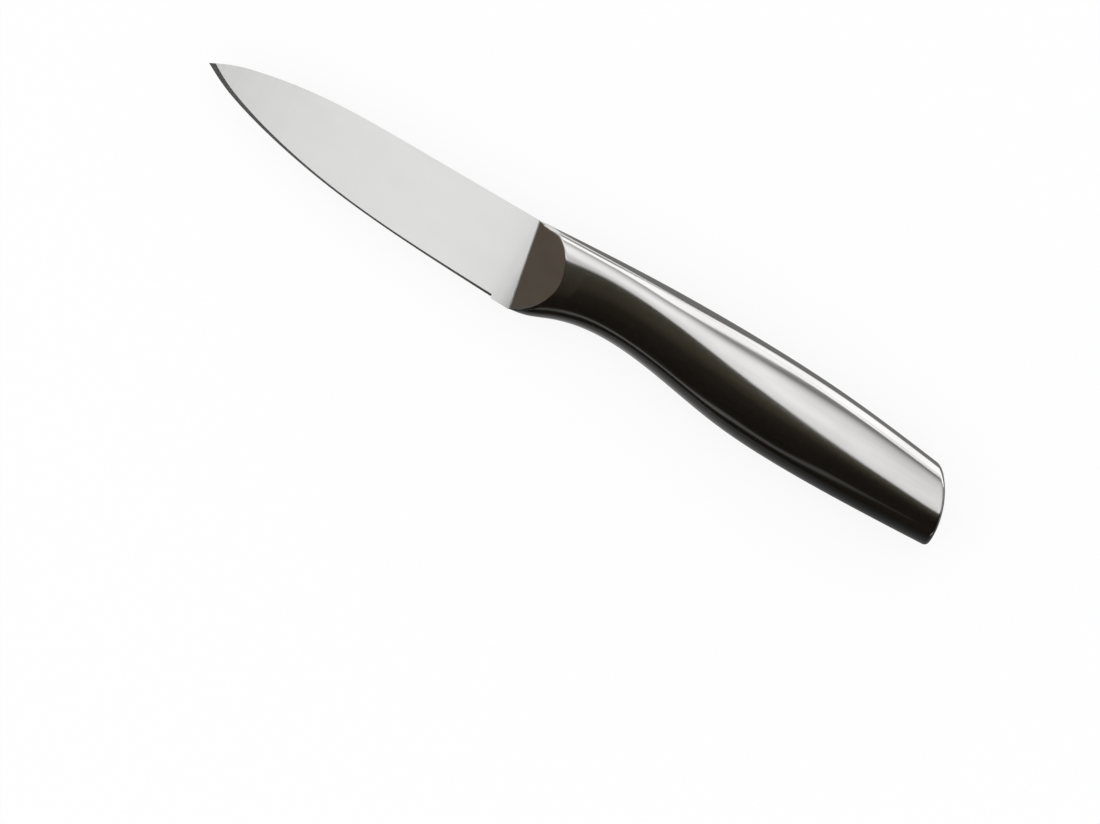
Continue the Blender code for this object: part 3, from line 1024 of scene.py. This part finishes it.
def make_handle_flag(look):
    """The dark side over the handle, which draws the lower edge of its band of light."""
    xs = np.linspace(FLAG_EDGE[0][0], FLAG_END, CARD_FACES + 1)
    edge = smooth_curve(FLAG_EDGE)(xs) + FLAG_TURN * np.maximum(xs - BUTT_EDGE_X, 0)
    depth = np.interp(xs, *zip(*FLAG_DEPTH))
    lines = [edge - share * depth for share, _ in FLAG_FADE]
    glows = [colour for _, colour in FLAG_FADE]
    level_card("flag_over_handle", xs, [*lines, FLAG_LOW_Y], LOW_CARD_Z, [*glows, glows[-1]], look)


def make_collar_flag(look):
    """A small flag that carries that edge on over the bolster, up to the ramp."""
    rows = [[(x, y, COLLAR_FLAG_Z) for x, y in COLLAR_FLAG_TOP]]
    for y, left, _ in COLLAR_FADE:
        xs = np.linspace(left, COLLAR_FLAG_RIGHT, len(COLLAR_FLAG_TOP))
        rows.append(row_at(xs, y, COLLAR_FLAG_Z))
    glows = [FLAG_FADE[0][1], *(colour for _, _, colour in COLLAR_FADE)]
    card("flag_over_bolster", rows, glows, look)


def make_side_panel(look):
    """The darkness that the steel sees on the belly's side."""
    rows = [row_at((left, right), y, z) for y, left, right, z in SIDE_PANEL]
    card("dark_side_panel", rows, [DARK_GLOW] * len(rows), look)


def make_belly_strip(look):
    xs = np.linspace(BELLY_STRIP[0][0], BELLY_STRIP[-1][0], CARD_FACES + 1)
    middle = smooth_curve(BELLY_STRIP)(xs)
    bright = greys(BELLY_STRIP_LEVELS, xs)
    lines = [middle + off for off, _ in BELLY_STRIP_ROWS]
    glows = [DARK_GLOW + share * bright for _, share in BELLY_STRIP_ROWS]
    level_card("belly_strip", xs, lines, BELLY_STRIP_Z, glows, look)


def make_light_panel(look):
    """The light over the handle, and past it the gap, which reaches out over the blade as well."""
    xs = np.linspace(*PANEL_X, PANEL_FACES + 1)
    over_handle = xs[xs >= HANDLE_PANEL_LEFT]
    parts = (
        ("light_panel", over_handle, PANEL_ROWS[: GAP_ROW + 1]),
        ("spine_gap", xs, PANEL_ROWS[GAP_ROW:]),
    )
    for name, part_xs, part_rows in parts:
        lines = [np.interp(part_xs, *zip(*line)) for line, _ in part_rows]
        glows = [greys(levels, part_xs) for _, levels in part_rows]
        level_card(name, part_xs, lines, HIGH_CARD_Z, glows, look)


def make_far_panels(look):
    """The bright panel past the gap, and the dim one that follows it on the neck's side."""
    xs = np.linspace(*PANEL_X, PANEL_FACES + 1)
    gap_end = np.interp(xs, *zip(*PANEL_ROWS[-1][0]))
    neck = xs < NECK_PANEL_RIGHT
    far_y = np.where(neck, NECK_PANEL_FAR_Y, PANEL_FAR_Y)
    level_card("spine_panel", xs, (gap_end, far_y), HIGH_CARD_Z, [PANEL_GLOW] * 2, look)
    dim_lines = (NECK_PANEL_FAR_Y, PANEL_FAR_Y)
    level_card("neck_panel", xs[neck], dim_lines, HIGH_CARD_Z, [NECK_DIM_GLOW] * 2, look)


def make_ramp_card(look):
    lines, glows = zip(*RAMP_CARD_ROWS)
    level_card("ramp_card", RAMP_CARD_X, lines, RAMP_CARD_Z, glows, look)


def make_edge_card(look):
    level_card("edge_card", EDGE_CARD_X, EDGE_CARD_Y, HIGH_CARD_Z, [EDGE_GLOW] * 2, look)


def make_butt_card(look):
    """The card beyond the butt: dark on the belly's side of its line, and dim on the other."""
    rows, glows = [], []
    for x, z, glow in BUTT_CARD:
        beyond = x - BUTT_EDGE_X
        line = BUTT_LINE_Y + BUTT_LINE_SLOPE * beyond
        fade = BUTT_LINE_FADE * beyond
        rows.append([(x, y, z) for y in (BUTT_CARD_Y[0], line - fade, line + fade, BUTT_CARD_Y[1])])
        glows.append(np.array([DARK_GLOW, DARK_GLOW, grey(glow), grey(glow)]))
    card("butt_card", rows, glows, look)


def make_blade_light(look):
    across = np.array([grey(share) for share in BLADE_LIGHT_SHARE])
    glows = [DARK_GLOW + BLADE_LIGHT_GLOW * share * across for share in BLADE_LIGHT_SHARE]
    level_card("blade_light", BLADE_LIGHT_X, BLADE_LIGHT_Y, BLADE_LIGHT_Z, glows, look)


def make_belly_flag(look):
    level_card("flag_by_belly", BELLY_FLAG_X, BELLY_FLAG_Y, LOW_CARD_Z, [DARK_GLOW] * 2, look)


def make_belly_floor(look):
    """The floor on the belly's side, as the steel sees it."""
    xs = [-FLOOR_CARD_HALF, *(x for x, _ in BELLY_FLOOR_SHARE), FLOOR_CARD_HALF]
    shares = greys(BELLY_FLOOR_SHARE, xs)
    lines = [y for y, _ in BELLY_FLOOR]
    glows = [value * shares for _, value in BELLY_FLOOR]
    level_card("belly_floor_in_steel", xs, lines, FLOOR_CARD_Z, glows, look)


def make_spine_floor(look):
    """The floor on the spine's side, as the steel sees it, with a painted shadow of the knife near it."""
    inner = np.linspace(FLOOR_EDGE[0][0], FLOOR_EDGE[-1][0], CARD_FACES + 1)
    by_joint = [x for x, _ in SPINE_FLOOR_SHADE if x < inner[0]]
    xs = np.array([-FLOOR_CARD_HALF, *by_joint, *inner, *(x for x, _ in BUTT_FLOOR_EDGE)])
    edge = smooth_curve(FLOOR_EDGE)(np.clip(xs, inner[0], inner[-1]))
    edge[xs > inner[-1]] = [y for _, y in BUTT_FLOOR_EDGE]
    lines = (0.0, edge * FLOOR_EDGE_SHARE, edge, FLOOR_CARD_HALF)
    # The two rows nearest the knife are dim: a painted shadow of the knife, as the steel sees it
    near = greys(SPINE_FLOOR_SHADE, xs)
    glows = [near, near, SPINE_FLOOR_FAR, SPINE_FLOOR_FAR]
    level_card("spine_floor_in_steel", xs, lines, FLOOR_CARD_Z, glows, look)


def make_floor():
    """The pale floor. To the eye it is partly white of itself, which leaves a faint shadow of the knife.

    The steel sees the floor's cards in its place.
    """
    look, nodes, links = new_material("pale_floor")
    shader = nodes["Principled BSDF"]
    shader.inputs["Base Color"].default_value = (*grey(FLOOR_WHITE), 1.0)
    shader.inputs["Roughness"].default_value = 1.0
    shader.inputs["Specular IOR Level"].default_value = 0.0
    light_path = nodes.new("ShaderNodeLightPath")
    eye = light_path.outputs["Is Camera Ray"]
    for ray in ("Is Glossy Ray", "Is Transmission Ray"):
        either = nodes.new("ShaderNodeMath")
        either.operation = "MAXIMUM"
        links.new(eye, either.inputs[0])
        links.new(light_path.outputs[ray], either.inputs[1])
        eye = either.outputs["Value"]
    share = nodes.new("ShaderNodeMath")
    share.operation = "MULTIPLY"
    share.inputs[1].default_value = FLOOR_OWN_WHITE
    links.new(eye, share.inputs[0])
    glow = nodes.new("ShaderNodeEmission")
    mix = nodes.new("ShaderNodeMixShader")
    links.new(share.outputs["Value"], mix.inputs["Fac"])
    links.new(shader.outputs["BSDF"], mix.inputs[1])
    links.new(glow.outputs["Emission"], mix.inputs[2])
    links.new(mix.outputs["Shader"], nodes["Material Output"].inputs["Surface"])
    marks = np.linspace(-FLOOR_HALF, FLOOR_HALF, FLOOR_FACES + 1)
    floor = stage_sheet("floor", [[(x, y, 0.0) for x in marks] for y in marks], look)
    floor.visible_glossy = False


def make_world():
    """An even white all round."""
    world = bpy.data.worlds.new("white_studio")
    world.use_nodes = True
    light = world.node_tree.nodes["Background"]
    light.inputs["Color"].default_value = (*grey(WHITE), 1.0)
    light.inputs["Strength"].default_value = WHITE
    bpy.context.scene.world = world


def make_camera():
    """A long lens straight over the knife, placed so that the tip falls where the photograph has it."""
    right = Vector((math.cos(PHOTO_LEAN), math.sin(PHOTO_LEAN), 0))
    up = Vector((-math.sin(PHOTO_LEAN), math.cos(PHOTO_LEAN), 0))
    to_centre = [size / 2 - at for size, at in zip(PHOTO_SIZE, TIP_PIXEL)]
    centre = Vector(tip) + METRES_PER_PIXEL * (to_centre[0] * right - to_centre[1] * up)
    data = bpy.data.cameras.new("camera")
    data.sensor_width = MILLIMETRES * SENSOR
    data.lens = MILLIMETRES * SENSOR * CAMERA_DISTANCE / (PHOTO_SIZE[0] * METRES_PER_PIXEL)
    data.clip_end = 2 * CAMERA_DISTANCE
    camera = bpy.data.objects.new("camera", data)
    camera.location = centre + Vector((0, 0, CAMERA_DISTANCE))
    camera.rotation_euler = (0, 0, PHOTO_LEAN)
    bpy.context.scene.collection.objects.link(camera)
    bpy.context.scene.camera = camera


blade_look = ground_steel()
handle_look = satin_steel()
weight_look = bare_steel()

make_blade(blade_look)
make_bolster(handle_look)
make_shell("left_shell", 1, "handle_shell_left", handle_look)
make_shell("right_shell", -1, "handle_shell_right", handle_look)
make_seam("spine_seam", at_belly=False, node="spine_seam_weld", look=handle_look)
make_seam("belly_seam", at_belly=True, node="belly_seam_weld", look=handle_look)
make_front_weld(handle_look)
make_butt_weld(handle_look)
make_cap(handle_look)
dress_weight(weight_look)

card_light = card_look()
make_floor()
CARD_MAKERS = (
    make_handle_flag,
    make_collar_flag,
    make_side_panel,
    make_belly_strip,
    make_light_panel,
    make_far_panels,
    make_ramp_card,
    make_edge_card,
    make_butt_card,
    make_blade_light,
    make_belly_flag,
    make_belly_floor,
    make_spine_floor,
)
for make_card in CARD_MAKERS:
    make_card(card_light)
make_world()
make_camera()

bpy.context.scene.view_settings.view_transform = "Standard"
